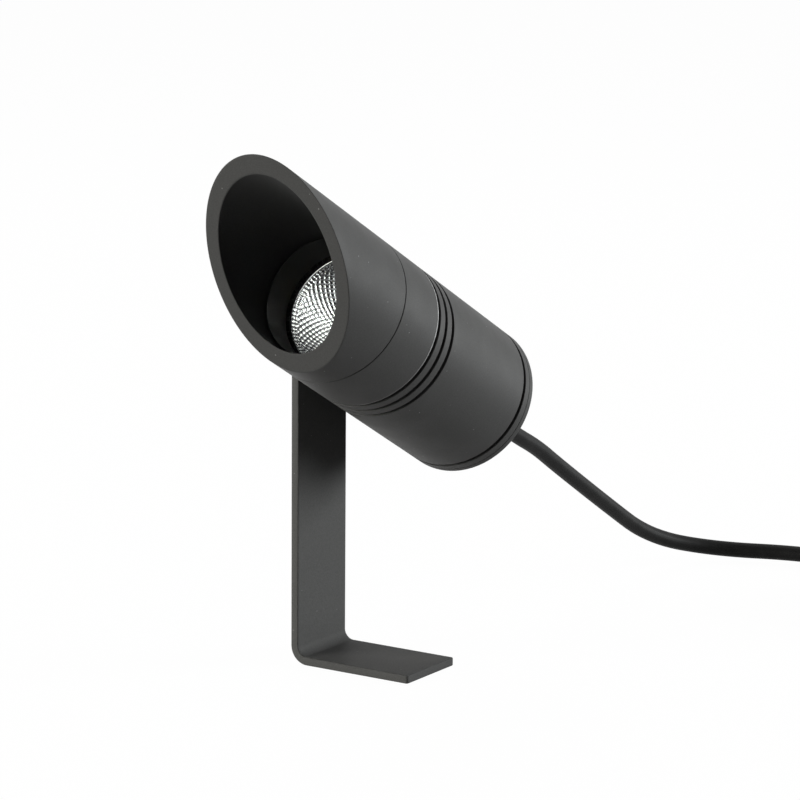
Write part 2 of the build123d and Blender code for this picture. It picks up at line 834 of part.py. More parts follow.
# Bare end of the lead: three cores, fanned out, each with a ferrule
def make_cores():
    start = coil_end()
    along = coil_heading(coil_turns_in + coil_turns_out)
    along = Vector(along.X, along.Y, 0).normalized()
    across = along.cross(Vector(0, 0, 1))
    pieces = {}
    ferrules = []
    for name, angle, fan in (("core_brown", 150, -1), ("core_blue", 30, 1), ("core_earth", 270, 0.15)):
        offset = across * math.cos(math.radians(angle)) + Vector(0, 0, math.sin(math.radians(angle)))
        root = start + offset * core_offset + along * thread_clearance
        bend = root + along * core_straight
        turn = math.radians(core_fan * fan)
        leaving = along * math.cos(turn) + across * math.sin(turn)
        tip = bend + leaving * (core_length - core_straight)
        path = FilletPolyline(root, bend, tip, radius=core_bend)
        pieces[name] = round_tube(path, core_diameter / 2)
        seat = Plane(origin=tip - leaving * ferrule_lap, z_dir=leaving)
        collar = disc(core_diameter / 2 + ferrule_wall, 0, ferrule_collar_length)
        collar -= disc(core_diameter / 2 + thread_clearance, 0, ferrule_lap)
        pin = disc(ferrule_pin_radius, ferrule_collar_length, ferrule_collar_length + ferrule_pin_length)
        ferrules.append(seat * (collar + pin))
    pieces["ferrules"] = group(ferrules)
    return pieces


# All pieces, the ones in the barrel placed on its tilted axis
in_barrel = {
    "body": make_body(),
    "hood": make_hood(),
    "hood_o_ring": sealing_ring(hood_socket, spigot_radius, body_front + spigot_length / 2),
    "bezel_ring": make_bezel_ring(),
    "lens_glass": disc(ring_bore - glass_clearance, glass_back, glass_front),
    "lens_gasket": ring(ring_bore - glass_clearance, optic_bore - gasket_overlap, ledge, glass_back),
    "reflector": make_reflector(),
    "thermal_pad": make_thermal_pad(),
    "led_board": make_led_board(),
    "led_emitter": disc(emitter_radius, board_front, board_front + emitter_thickness),
    "led_holder": make_led_holder(),
    "holder_screws": group(make_holder_screws()),
    "led_leads": group(make_led_leads()),
    "driver_case": make_driver_case(),
    "driver_screws": group(make_driver_screws()),
    "terminal_block": make_terminal_block(),
    "supply_cores": group(make_supply_cores()),
    "earth_lug": make_earth_lug(),
    "earth_screw": make_earth_screw(),
    "earth_lead": make_earth_lead(),
    "rear_cap": make_rear_cap(),
    "rear_o_ring": sealing_ring(rear_bore, cap_spigot, -body_rear + cap_spigot_length / 2),
    "cap_screws": group(make_cap_screws()),
    "gland_body": make_gland_body(),
    "gland_locknut": make_gland_locknut(),
    "gland_seal": make_gland_seal(),
    "gland_nut": make_gland_nut(),
    "cord_entry": make_cord_entry(),
}
nodes = {name: head_place * piece for name, piece in in_barrel.items()}
nodes["bracket"] = make_bracket()
nodes.update(make_pivot())
nodes["cord_lead"] = make_lead()
nodes["cord_coil"] = make_coil()
nodes["coil_tie"] = make_coil_tie()
nodes.update(make_cores())

os.makedirs("parts", exist_ok=True)
for name, piece in nodes.items():
    export_step(piece, f"parts/{name}.step")
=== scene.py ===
# %% [markdown]
# # A landscape spotlight
# This garden lamp is a round aluminium barrel with a slant-cut hood. It tilts on one bent strip of
# metal, and a rubber lead leaves its rear. The construction is already there as exact solids. This
# lesson dresses it: every outside shell is worked out again as a smooth surface with soft edges, the
# reflector gets its facets, the lead gets its real length, and each finish is built from nodes.

# %% Load the construction
import json
import math

import bmesh
import bpy
import numpy as np
from mathutils import Matrix, Vector


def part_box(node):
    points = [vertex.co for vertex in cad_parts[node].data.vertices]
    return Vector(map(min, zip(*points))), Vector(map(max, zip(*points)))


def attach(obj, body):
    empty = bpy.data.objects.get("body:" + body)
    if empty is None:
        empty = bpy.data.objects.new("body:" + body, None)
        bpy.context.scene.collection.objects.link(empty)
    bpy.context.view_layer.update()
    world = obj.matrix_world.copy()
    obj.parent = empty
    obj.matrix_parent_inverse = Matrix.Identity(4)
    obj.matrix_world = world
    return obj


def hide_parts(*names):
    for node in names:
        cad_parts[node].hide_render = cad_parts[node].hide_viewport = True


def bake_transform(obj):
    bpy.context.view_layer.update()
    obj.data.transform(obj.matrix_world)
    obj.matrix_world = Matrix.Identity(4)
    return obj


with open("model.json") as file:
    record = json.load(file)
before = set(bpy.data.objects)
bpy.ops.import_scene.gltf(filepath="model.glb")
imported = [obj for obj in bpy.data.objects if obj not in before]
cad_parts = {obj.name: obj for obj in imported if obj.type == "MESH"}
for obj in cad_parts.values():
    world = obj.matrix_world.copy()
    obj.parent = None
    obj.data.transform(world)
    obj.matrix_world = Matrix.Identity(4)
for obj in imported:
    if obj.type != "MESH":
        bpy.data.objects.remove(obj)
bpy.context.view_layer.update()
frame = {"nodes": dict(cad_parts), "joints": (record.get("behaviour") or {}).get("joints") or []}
mm = 0.001
joints = {joint["name"]: joint for joint in frame["joints"]}

# %% [markdown]
# ## The camera
# The photograph was taken from the right and a little above, with a long lens. The lens is given in
# pixels of an 800 pixel picture, because that is how a picture is measured, and Blender wants it in
# millimetres on its sensor. The three turns place the camera's own axes.

# %% Camera
camera_place = Vector((0.75725, -1.1522, 0.3800))
azimuth, elevation, roll = (math.radians(angle) for angle in (33.028, 11.312, 0.434))
lens_in_pixels = 3708.7
picture_pixels = 800
sensor_width = 36.0

to_camera = Vector((
    math.sin(azimuth) * math.cos(elevation),
    -math.cos(azimuth) * math.cos(elevation),
    math.sin(elevation),
))
level_right = Vector((math.cos(azimuth), math.sin(azimuth), 0.0))
level_up = to_camera.cross(level_right)
picture_right = math.cos(roll) * level_right + math.sin(roll) * level_up
picture_up = math.cos(roll) * level_up - math.sin(roll) * level_right

camera = bpy.data.objects.new("camera", bpy.data.cameras.new("camera"))
camera.data.sensor_width = sensor_width
camera.data.lens = lens_in_pixels * sensor_width / picture_pixels
camera.data.clip_start = 0.05
camera.data.clip_end = 50.0
turned_axes = Matrix((picture_right, picture_up, to_camera)).transposed().to_4x4()
camera.matrix_world = Matrix.Translation(camera_place) @ turned_axes
bpy.context.scene.collection.objects.link(camera)
bpy.context.scene.camera = camera
print("lens", round(camera.data.lens, 1), "mm")

# %% [markdown]
# ## Surfaces from arrays
# A surface here is a grid of points: one parameter runs along the rows and one along the columns. The
# points come from a formula on whole arrays, and the faces only join neighbours. A profile could also
# be spun with a modifier, but a formula lets one surface be slanted, faceted or six-sided at will.

# %% Grids and pieces
merge_distance, flat_edge = 0.002 * mm, 0.001 * mm
map_name = "along_and_round"


def grid_faces(rows, columns, close_rows=True, close_columns=True):
    """Four-sided faces between neighbours of a grid. A closed direction joins its last line to its
    first."""
    row = np.arange(rows if close_rows else rows - 1)
    column = np.arange(columns if close_columns else columns - 1)
    row, column = np.meshgrid(row, column, indexing="ij")
    next_row = (row + 1) % rows
    next_column = (column + 1) % columns
    corners = [
        row * columns + column,
        next_row * columns + column,
        next_row * columns + next_column,
        row * columns + next_column,
    ]
    return np.stack(corners, axis=-1).reshape(-1, 4)


def seal(mesh):
    """Merges the doubled points of poles and seams, then turns every face outwards."""
    work = bmesh.new()
    work.from_mesh(mesh)
    bmesh.ops.remove_doubles(work, verts=work.verts, dist=merge_distance)
    bmesh.ops.dissolve_degenerate(work, edges=work.edges, dist=flat_edge)
    bmesh.ops.recalc_face_normals(work, faces=work.faces)
    work.to_mesh(mesh)
    work.free()


def make_piece(name, points, faces, finishes, which_finish=None, own_map=None):
    """A new object at the origin from points in metres. which_finish gives each face its finish, and
    own_map gives each face's corners their places on a flat map."""
    mesh = bpy.data.meshes.new(name)
    mesh.from_pydata(points.reshape(-1, 3).tolist(), [], faces.tolist())
    for finish in finishes:
        mesh.materials.append(finish)
    if which_finish is not None:
        mesh.polygons.foreach_set("material_index", np.asarray(which_finish, dtype=np.int32).ravel())
    if own_map is not None:
        mesh.uv_layers.new(name=map_name).data.foreach_set("uv", own_map.ravel())
    seal(mesh)
    mesh.shade_smooth()
    piece = bpy.data.objects.new(name, mesh)
    bpy.context.scene.collection.objects.link(piece)
    return piece


def stand_for(piece, node, body):
    """The piece moves with a body and takes the place of a solid."""
    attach(piece, body)
    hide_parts(node)
    print(piece.name, len(piece.data.vertices), "points for", node)


def soften(outline, breaks, steps=5, guard=1.5):
    """Each corner of a closed outline turns into a parabola between points a break away on both sides.
    A guard point lies just past each end, so that the flat beside a soft edge stays flat."""
    corner = np.asarray(outline, dtype=float)
    reach = np.asarray(breaks, dtype=float)[:, None]
    back = np.roll(corner, 1, axis=0) - corner
    ahead = np.roll(corner, -1, axis=0) - corner
    back /= np.linalg.norm(back, axis=1, keepdims=True)
    ahead /= np.linalg.norm(ahead, axis=1, keepdims=True)
    share = np.linspace(0.0, 1.0, steps)[:, None, None]
    curve = corner + (1 - share) ** 2 * back * reach + share**2 * ahead * reach
    guard_before = corner + back * reach * guard
    guard_after = corner + ahead * reach * guard
    curve = np.concatenate([guard_before[None], curve, guard_after[None]])
    return curve.transpose(1, 0, 2).reshape(-1, corner.shape[1])


# %% [markdown]
# ## The finishes
# Nothing on this lamp is one flat colour. Pictures of paint and rubber could be wrapped round it, but
# they would show their pixels close up. Here each finish is computed by nodes instead. Patterns read
# Object coordinates, which are metres here, so a noise of scale 2000 has grains of about half a
# millimetre. Most of a noise lies between 0.3 and 0.7, so that is the span that gets spread out.

# %% Helpers for finishes
noise_low, noise_high = 0.3, 0.7


def start_finish(name, **values):
    """A material whose plain numbers and colours sit on the shader's own sockets."""
    material = bpy.data.materials.new(name)
    material.use_nodes = True
    shader = material.node_tree.nodes["Principled BSDF"]
    for socket, value in values.items():
        shader.inputs[socket.replace("_", " ")].default_value = value
    return material, material.node_tree, shader


def add_node(tree, kind, inputs=None, **settings):
    node = tree.nodes.new("ShaderNode" + kind)
    for name, value in settings.items():
        setattr(node, name, value)
    for name, value in (inputs or {}).items():
        node.inputs[name].default_value = value
    return node


def add_noise(tree, scale, detail=2.0):
    """Noise on Object coordinates."""
    coordinates = add_node(tree, "TexCoord").outputs["Object"]
    noise = add_node(tree, "TexNoise", {"Scale": scale, "Detail": detail})
    tree.links.new(coordinates, noise.inputs["Vector"])
    return noise.outputs["Fac"]


def add_ramp(tree, factor, stops):
    """Colours along a factor, as (position, colour) pairs."""
    ramp = add_node(tree, "ValToRGB")
    tree.links.new(factor, ramp.inputs["Fac"])
    elements = ramp.color_ramp.elements
    for index, (position, colour) in enumerate(stops):
        element = elements[index] if index < 2 else elements.new(position)
        element.position = position
        element.color = (*colour, 1.0)
    return ramp.outputs["Color"]


def add_range(tree, factor, low, high, factor_low=noise_low, factor_high=noise_high):
    """Spreads a part of a factor's span between two values."""
    spans = {"From Min": factor_low, "From Max": factor_high, "To Min": low, "To Max": high}
    spread = add_node(tree, "MapRange", spans)
    tree.links.new(factor, spread.inputs["Value"])
    return spread.outputs["Result"]


def add_bump(tree, shader, height, strength, depth):
    bump = add_node(tree, "Bump", {"Strength": strength, "Distance": depth})
    tree.links.new(height, bump.inputs["Height"])
    tree.links.new(bump.outputs["Normal"], shader.inputs["Normal"])


def choose_shader(tree, share, first, second, output):
    """Goes from one shader to another by a share, and sends the result to the output node."""
    choice = add_node(tree, "MixShader")
    for place, source in enumerate((share, first, second)):
        tree.links.new(source, choice.inputs[place])
    tree.links.new(choice.outputs[0], tree.nodes[output].inputs["Surface"])


def grey(level, warmth=0.0):
    return (level * (1 + warmth), level, level * (1 - warmth))


# %% [markdown]
# ## Powder coat
# The castings and the strip are sprayed with dry powder, which is then baked. The skin is matt, with a
# fine grain, a few lighter specks and a shallow bump that the eye reads as texture. One plain grey
# would look like plastic. On the front lip of one groove a painted highlight is laid into the colour:
# a thin bright line that is only bright high on the barrel, so its brightness grows with height.

# %% Powder coat and its worn edge
def add_specks(tree, cells_per_metre, reach, solid_part=0.6):
    """One on small spots and nothing elsewhere: near the seeds of a cell pattern, reach in cells."""
    coordinates = add_node(tree, "TexCoord").outputs["Object"]
    cells = add_node(tree, "TexVoronoi", {"Scale": cells_per_metre})
    tree.links.new(coordinates, cells.inputs["Vector"])
    return add_range(tree, cells.outputs["Distance"], 0.0, 1.0, reach, reach * solid_part)


def add_mix(tree, share, first, second):
    """Goes from one colour to another; each is a colour or another node's output."""
    mix = add_node(tree, "Mix", data_type="RGBA")
    tree.links.new(share, mix.inputs["Factor"])
    for socket, colour in (("A", first), ("B", second)):
        place = next(entry for entry in mix.inputs if entry.name == socket and entry.type == "RGBA")
        if isinstance(colour, tuple):
            place.default_value = (*colour, 1.0)
        else:
            tree.links.new(colour, place)
    return next(entry for entry in mix.outputs if entry.type == "RGBA")


def powder_coat(name, level, specular, speck=0.24, contrast=0.12, warmth=0.01):
    """Matt anthracite: fine grain, a cloudy sheen, sparse lighter specks and a fine bump."""
    material, tree, shader = start_finish(name, Specular_IOR_Level=specular)
    grain = add_noise(tree, scale=2300.0, detail=3.0)
    dark, light = (grey(level * share, warmth) for share in (1 - contrast, 1 + contrast))
    fine = add_ramp(tree, grain, [(noise_low, dark), (noise_high, light)])
    cloud = add_noise(tree, scale=90.0)
    specks = add_specks(tree, cells_per_metre=190.0, reach=0.05)
    tree.links.new(add_mix(tree, specks, fine, grey(speck)), shader.inputs["Base Color"])
    tree.links.new(add_range(tree, cloud, low=0.52, high=0.58), shader.inputs["Roughness"])
    add_bump(tree, shader, grain, strength=0.25, depth=0.06 * mm)
    return material


def lip_highlight_paint(name, level, highlight_level, dull_height, bright_height):
    """Powder coat with a painted highlight along an edge, brighter the higher the edge lies."""
    material, tree, shader = start_finish(name, Roughness=0.35, Specular_IOR_Level=0.3)
    coordinates = add_node(tree, "TexCoord").outputs["Object"]
    split = add_node(tree, "SeparateXYZ")
    tree.links.new(coordinates, split.inputs["Vector"])
    # The painted highlight grows with height: none below dull_height, full above bright_height.
    rise = add_range(tree, split.outputs["Z"], 0.0, 1.0, dull_height, bright_height)
    patches = add_range(tree, add_noise(tree, scale=320.0, detail=3.0), low=0.7, high=1.2)
    share = add_node(tree, "Math", operation="MULTIPLY", use_clamp=True)
    tree.links.new(rise, share.inputs[0])
    tree.links.new(patches, share.inputs[1])
    # Mixes the coat's grey towards the painted highlight's grey.
    bright = add_mix(tree, share.outputs[0], grey(level), grey(highlight_level))
    tree.links.new(bright, shader.inputs["Base Color"])
    return material


# %% [markdown]
# ## Moulded skins, metal and glass
# Plastic and rubber come out of a mould with a faint grain, and bare metal has fine marks. Both are a
# colour that drifts with noise, and the same noise drives the roughness. Glass that bends light casts
# a dark shadow in a path tracer unless shadow rays are let through, so they see it as clear.

# %% Moulded skins, metal and glass
def grained(name, colour, roughness, scale=1500.0, contrast=0.12, bump=0.15, **values):
    """A moulded, cast or rubber skin: one colour that drifts with a fine grain, and a light bump."""
    material, tree, shader = start_finish(name, **values)
    grain = add_noise(tree, scale, detail=3.0)
    dark, light = ([part * (1 + side * contrast) for part in colour] for side in (-1, 1))
    stops = [(noise_low, dark), (noise_high, light)]
    tree.links.new(add_ramp(tree, grain, stops), shader.inputs["Base Color"])
    tree.links.new(add_range(tree, grain, roughness * 0.9, roughness * 1.1), shader.inputs["Roughness"])
    add_bump(tree, shader, grain, bump, depth=0.05 * mm)
    return material


def bright_metal(name, colour, roughness):
    """Bare metal with fine marks."""
    material, tree, shader = start_finish(name, Metallic=1.0)
    marks = add_noise(tree, scale=1400.0, detail=3.0)
    dark, light = ([part * share for part in colour] for share in (0.88, 1.0))
    stops = [(noise_low, dark), (noise_high, light)]
    tree.links.new(add_ramp(tree, marks, stops), shader.inputs["Base Color"])
    tree.links.new(add_range(tree, marks, roughness * 0.8, roughness * 1.25), shader.inputs["Roughness"])
    add_bump(tree, shader, marks, strength=0.08, depth=0.02 * mm)
    return material


def clear_glass(name):
    """Glass that bends what is seen through it and lets the lamps' shadow rays pass."""
    material, tree, shader = start_finish(name, Transmission_Weight=1.0, Roughness=0.0, IOR=1.46)
    shader.inputs["Base Color"].default_value = (0.97, 0.985, 0.98, 1.0)
    shadow = add_node(tree, "LightPath").outputs["Is Shadow Ray"]
    passing = add_node(tree, "BsdfTransparent")
    choose_shader(tree, shadow, shader.outputs[0], passing.outputs[0], "Material Output")
    return material


# %% [markdown]
# ## This lamp's finishes
# The outside is anthracite, and the inside of the hood is a darker grey than the coat, which is painted
# shade in its bore.
# The strip is a little lighter and duller than the barrel in the photograph. The pieces inside have
# the colours that such pieces have: white board, yellow phosphor, brown, blue and green-yellow wires.

# %% This lamp's finishes
coat_level, strip_level = 0.060, 0.102
coat = powder_coat("anthracite_powder_coat", coat_level, specular=0.135)
strip_coat = powder_coat("strip_powder_coat", strip_level, specular=0.02)
# The groove's front lip gets a painted highlight, brighter high on the barrel.
lip_highlight_finish = lip_highlight_paint("groove_lip_painted_highlight", coat_level, highlight_level=0.60, dull_height=0.116, bright_height=0.142)
# The hood's bore is painted darker than the coat outside: painted shade.
bore_painted_shade = grained("bore_painted_shade", grey(0.030), 0.6, 1800.0, contrast=0.2, Specular_IOR_Level=0.10)
bezel_black = grained("bezel_black", grey(0.006), 0.5, 2600.0, contrast=0.2, Specular_IOR_Level=0.22)
mirror_metal = bright_metal("bright_reflector", (0.93, 0.935, 0.94), 0.05)
steel = bright_metal("stainless_steel", (0.60, 0.60, 0.61), 0.30)
tinned = bright_metal("tinned_copper", (0.78, 0.77, 0.75), 0.25)
spacer_metal = grained("spacer_anthracite", grey(0.05), 0.5)
glass = clear_glass("lens_glass_clear")
seal_rubber = grained("seal_rubber", grey(0.008), 0.7, Specular_IOR_Level=0.1)
nylon = grained("black_nylon", grey(0.022), 0.42, 900.0)
phosphor = grained("yellow_phosphor", (0.86, 0.60, 0.08), 0.45, 3000.0, contrast=0.1)
dam_white = grained("white_silicone_dam", (0.78, 0.78, 0.75), 0.5, 2000.0, contrast=0.05)
board_white = grained("white_board_mask", (0.80, 0.80, 0.77), 0.4, 900.0, contrast=0.05)
holder_white = grained("white_holder", (0.74, 0.74, 0.71), 0.45, 900.0, contrast=0.05)
thermal_grey = grained("thermal_pad_grey", (0.25, 0.26, 0.28), 0.7)
driver_plastic = grained("driver_plastic", (0.68, 0.68, 0.65), 0.45, 700.0, contrast=0.05)
wire_brown = grained("wire_brown", (0.14, 0.045, 0.018), 0.42)
wire_blue = grained("wire_blue", (0.015, 0.07, 0.32), 0.42)
wire_red = grained("wire_red", (0.36, 0.012, 0.012), 0.42)
wire_earth = grained("wire_green_yellow", (0.30, 0.42, 0.03), 0.42)
print("finishes", len(bpy.data.materials))

# %% [markdown]
# ## The lead
# A garden lamp leaves the works with about a metre of three-core rubber cable. The photograph shows its
# first stretch, running down from the rear to the ground. The rest is put away in a neat coil on the
# ground, just outside the picture. The route is one smooth NURBS curve: its first points are listed,
# and the coil's turns are more points of the same curve. The tube then follows points read back
# from that curve.

# %% The lead's route
cord_diameter = 6.5 * mm
floor_line = 4.5 * mm
lead_points = [
    (6.35, 80.29, 80.43), (6.35, 89.0, 75.67), (6.35, 104.0, 68.5), (6.35, 120.0, 58.6),
    (6.35, 160.0, 35.0), (8.0, 196.0, 13.5),
    (24.0, 226.0, 4.5), (58.0, 240.0, 4.5), (98.8, 241.2, 4.5), (126.9, 238.5, 4.5),
]
coil_centre = np.array([130.5, 196.0]) * mm
coil_start_radius = 42.0 * mm
coil_start_angle = math.radians(86.0)
coil_turns_in, coil_turns_out, coil_climb_turns = 2.0, 1.33, 0.5
coil_pitch = 7.0 * mm
points_per_turn = 24


def coil_points():
    """A flat spiral in, a climb of one layer where it reverses, and a spiral out on top, clockwise."""
    total = coil_turns_in + coil_turns_out
    turn = np.linspace(0.0, total, round(total * points_per_turn))
    inwards = np.where(turn < coil_turns_in, turn, 2 * coil_turns_in - turn)
    radius = coil_start_radius - coil_pitch * inwards
    share = np.clip((turn - coil_turns_in) / coil_climb_turns + 0.5, 0.0, 1.0)
    height = floor_line + coil_pitch * share * share * (3 - 2 * share)
    angle = coil_start_angle - 2 * math.pi * turn
    across = coil_centre[0] + radius * np.cos(angle)
    along = coil_centre[1] + radius * np.sin(angle)
    return np.stack([across, along, height], axis=1)


coil = coil_points()
last_step = (coil[-1] - coil[-2]) / np.linalg.norm(coil[-1] - coil[-2])
coil_end = coil[-1] + last_step * cord_diameter
control_points = np.concatenate([np.array(lead_points) * mm, coil, [coil_end]])

route = bpy.data.curves.new("lead_route", "CURVE")
route.dimensions = "3D"
spline = route.splines.new("NURBS")
spline.points.add(len(control_points) - 1)
weighted_points = np.column_stack([control_points, np.ones(len(control_points))])
spline.points.foreach_set("co", weighted_points.ravel())
spline.order_u = 3
spline.use_endpoint_u = True
spline.resolution_u = 10
route_holder = bpy.data.objects.new("lead_route", route)
route_line = bpy.data.meshes.new_from_object(route_holder)
lead_path = np.empty(len(route_line.vertices) * 3)
route_line.vertices.foreach_get("co", lead_path)
lead_path = lead_path.reshape(-1, 3)
bpy.data.objects.remove(route_holder)


# %% [markdown]
# ## The lead's rubber
# The sheath is pressed out through a die, which leaves faint lines along it, and old rubber gets a
# dusty bloom. The lines can't read Object coordinates, because the lead winds about. They read the
# tube's own map instead: metres along it and a share of a turn round it.

# %% The lead's rubber
def lead_rubber(name):
    """Extruded rubber: faint lines along the lead, read from the tube's own map, and a dusty bloom."""
    material, tree, shader = start_finish(name, Specular_IOR_Level=0.08)
    own_map = add_node(tree, "UVMap", uv_map=map_name).outputs["UV"]
    mapping = add_node(tree, "Mapping", {"Scale": (14.0, 34.0, 1.0)})
    tree.links.new(own_map, mapping.inputs["Vector"])
    lines = add_node(tree, "TexNoise", {"Scale": 1.0, "Detail": 4.0})
    tree.links.new(mapping.outputs["Vector"], lines.inputs["Vector"])
    bloom = add_noise(tree, scale=260.0, detail=4.0)
    stops = [(0.3, grey(0.008)), (0.6, grey(0.013, 0.01)), (0.8, grey(0.022, 0.01))]
    tree.links.new(add_ramp(tree, bloom, stops), shader.inputs["Base Color"])
    tree.links.new(add_range(tree, lines.outputs["Fac"], low=0.46, high=0.62), shader.inputs["Roughness"])
    add_bump(tree, shader, lines.outputs["Fac"], strength=0.15, depth=0.08 * mm)
    return material


cord_rubber = lead_rubber("lead_rubber")
print("finishes", len(bpy.data.materials))


# %% [markdown]
# ## The lead's tube
# A curve with a round bevel would give a tube too. Here the tube is a grid, a circle carried along the
# route, so that its ends are closed and its map is exact. Its first stretch hangs between the head,
# which tilts, and the ground, which doesn't.

# %% The lead's tube
def tube_along(name, path, radius, sides, finish):
    """A circle carried along a path that never stands upright: its plane holds the level side of each
    step and the line square to both. The ends are closed by a last ring shrunk to its centre."""
    heading = np.gradient(path, axis=0)
    heading /= np.linalg.norm(heading, axis=1, keepdims=True)
    side = np.cross(heading, [0.0, 0.0, 1.0])
    side /= np.linalg.norm(side, axis=1, keepdims=True)
    lift = np.cross(side, heading)
    angle = np.linspace(0.0, 2 * math.pi, sides, endpoint=False)
    circle = np.cos(angle)[:, None] * side[:, None, :] + np.sin(angle)[:, None] * lift[:, None, :]
    first_ring, last_ring = (np.repeat(end[None, None], sides, axis=1) for end in path[[0, -1]])
    rings = np.concatenate([first_ring, path[:, None, :] + radius * circle, last_ring])
    travelled = np.concatenate([[0.0], np.cumsum(np.linalg.norm(np.diff(path, axis=0), axis=1))])
    travelled = np.concatenate([travelled[:1], travelled, travelled[-1:]])
    faces = grid_faces(len(rings), sides, close_rows=False)
    corner = faces.ravel()
    turn_share = (corner % sides) / sides
    last_side = np.tile([0, 0, 1, 1], len(faces)) * (np.repeat(faces[:, 0] % sides, 4) == sides - 1)
    own_map = np.column_stack([travelled[corner // sides], turn_share + last_side])
    return make_piece(name, rings, faces, [finish], own_map=own_map)


lead = tube_along("supply_lead", lead_path, cord_diameter / 2, sides=24, finish=cord_rubber)
hinge = np.array(joints["head_tilt"]["pos_m"])
forward = np.array(joints["hood_turn"]["axis"])
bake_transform(lead)
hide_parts("cord_lead", "cord_coil")
print(lead.name, len(lead.data.vertices), "points")

# %% [markdown]
# ## The barrel's own axes
# The barrel is tilted, so its pieces are worked out along its own axis and then placed. A station is a
# distance in front of the hinge, a radius is a distance from the axis. Both are in millimetres until
# the last step.

# %% Barrel axes and turning
across = np.array([1.0, 0.0, 0.0])
upward = np.cross(forward, across)
turn_steps, small_turn_steps, rod_steps = 192, 96, 64
sharp_angle = math.radians(35)
barrel_low, barrel_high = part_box("body")
barrel_radius = (barrel_high.x - barrel_low.x) / 2 / mm


def on_barrel(points):
    """Barrel coordinates (across, up, forward) in millimetres, placed in the lamp's frame in metres."""
    axes = np.stack([across, upward, forward])
    return hinge + points @ axes * mm


def turned(outline, steps=turn_steps):
    """A surface of revolution: each (radius, station) of a closed outline goes once round the axis."""
    outline = np.asarray(outline, dtype=float)
    angle = np.linspace(0.0, 2 * math.pi, steps, endpoint=False)[:, None]
    radius, station = outline[:, 0], outline[:, 1]
    points = np.stack([radius * np.cos(angle), radius * np.sin(angle), station + 0 * angle], axis=-1)
    return points, grid_faces(steps, len(outline))


def face_middles(outline, faces):
    """The (radius, station) half-way along each face of a turned outline."""
    return (outline[faces[:, 0] % len(outline)] + outline[faces[:, 3] % len(outline)]) / 2


def cut_away(piece, cutters):
    """Takes the cutters' volume out of a piece, then removes them."""
    for cutter in cutters:
        change = piece.modifiers.new("cut", "BOOLEAN")
        change.operation = "DIFFERENCE"
        change.solver = "EXACT"
        change.object = cutter
    changed = piece.evaluated_get(bpy.context.evaluated_depsgraph_get())
    mesh = bpy.data.meshes.new_from_object(changed)
    seal(mesh)
    piece.modifiers.clear()
    piece.data = mesh
    mesh.set_sharp_from_angle(angle=sharp_angle)
    for cutter in cutters:
        bpy.data.objects.remove(cutter)


def plain_rod(name, points_to_frame, radius, start, end, finish):
    """A closed cylinder between two stations, used to cut holes."""
    outline = [(0.0, start), (radius, start), (radius, end), (0.0, end)]
    points, faces = turned(outline, rod_steps)
    return make_piece(name, points_to_frame(points), faces, [finish])


print("barrel radius", round(barrel_radius, 2), "mm")

# %% [markdown]
# ## The housing
# The middle of the lamp is a turned casting. Four narrow grooves ring it, and each shows as a black
# line, so the lips are softened rather than sharp. A narrow band of faces beside the front lip of the
# foremost groove takes a painted highlight. Behind the strip a flat pocket seats the tilt joint's
# spacer. It is cut last, because it isn't round about the axis.

# %% Housing
body_front, body_rear = 47.5, -52.6
groove_stations = [body_rear + 4.25, 10.9, 16.2, 21.5]
groove_half_width, groove_depth = 0.9, 2.0
axis_break, groove_break, seam_break = 0.01, 0.2, 0.4
# The band with the painted highlight: its width along the barrel and its depth from the surface.
highlight_width, highlight_depth = 0.55, 0.15
spigot_radius, spigot_front = 27.94, 54.5
glass_seat_radius, glass_ledge = 25.44, 39.5
optic_bore, rear_bore = 23.0, 25.0
web_front, web_rear = 14.0, 9.0
ring_groove_station, ring_groove_half, ring_groove_depth = 51.0, 0.96, 1.75


def groove_corners(station, half_width, depth, radius):
    return [
        (radius, station - half_width), (radius - depth, station - half_width),
        (radius - depth, station + half_width), (radius, station + half_width),
    ]


housing_corners = [
    (0.0, web_rear), (rear_bore, web_rear), (rear_bore, body_rear), (barrel_radius, body_rear),
]
housing_breaks = [axis_break, 0.3, 0.3, seam_break]
for station in groove_stations:
    housing_corners += groove_corners(station, groove_half_width, groove_depth, barrel_radius)
    housing_breaks += [groove_break] * 4
# The painted highlight starts at the foremost groove's front lip.
highlight_from = max(groove_stations) + groove_half_width
highlight_to = highlight_from + highlight_width
housing_corners += [(barrel_radius, highlight_to), (barrel_radius, body_front), (spigot_radius, body_front)]
housing_breaks += [0.02, seam_break, 0.1]
housing_corners += groove_corners(ring_groove_station, ring_groove_half, ring_groove_depth, spigot_radius)
housing_breaks += [0.1] * 4
housing_corners += [
    (spigot_radius, spigot_front), (glass_seat_radius, spigot_front), (glass_seat_radius, glass_ledge),
    (optic_bore, glass_ledge), (optic_bore, web_front), (0.0, web_front),
]
housing_breaks += [0.2, 0.2, 0.1, 0.1, 0.3, axis_break]

housing_outline = soften(housing_corners, housing_breaks)
points, faces = turned(housing_outline)
middle_radius, middle_station = face_middles(housing_outline, faces).T
# Faces in that band take the painted highlight.
on_lip_highlight = (middle_station > highlight_from) & (middle_station < highlight_to)
on_lip_highlight &= middle_radius > barrel_radius - highlight_depth
housing = make_piece("barrel_housing", on_barrel(points), faces, [coat, lip_highlight_finish], on_lip_highlight)

pocket_radius, pocket_floor, pocket_overshoot = 8.3, 28.5, 2.0


def out_of_side(points):
    """Turns a cutter's axis out of the barrel's side, towards the strip."""
    return on_barrel(np.stack([-points[..., 2], points[..., 1], points[..., 0]], axis=-1))


pocket_top = barrel_radius + pocket_overshoot
cut_away(housing, [plain_rod("pocket", out_of_side, pocket_radius, pocket_floor, pocket_top, coat)])
stand_for(housing, "body", "head")
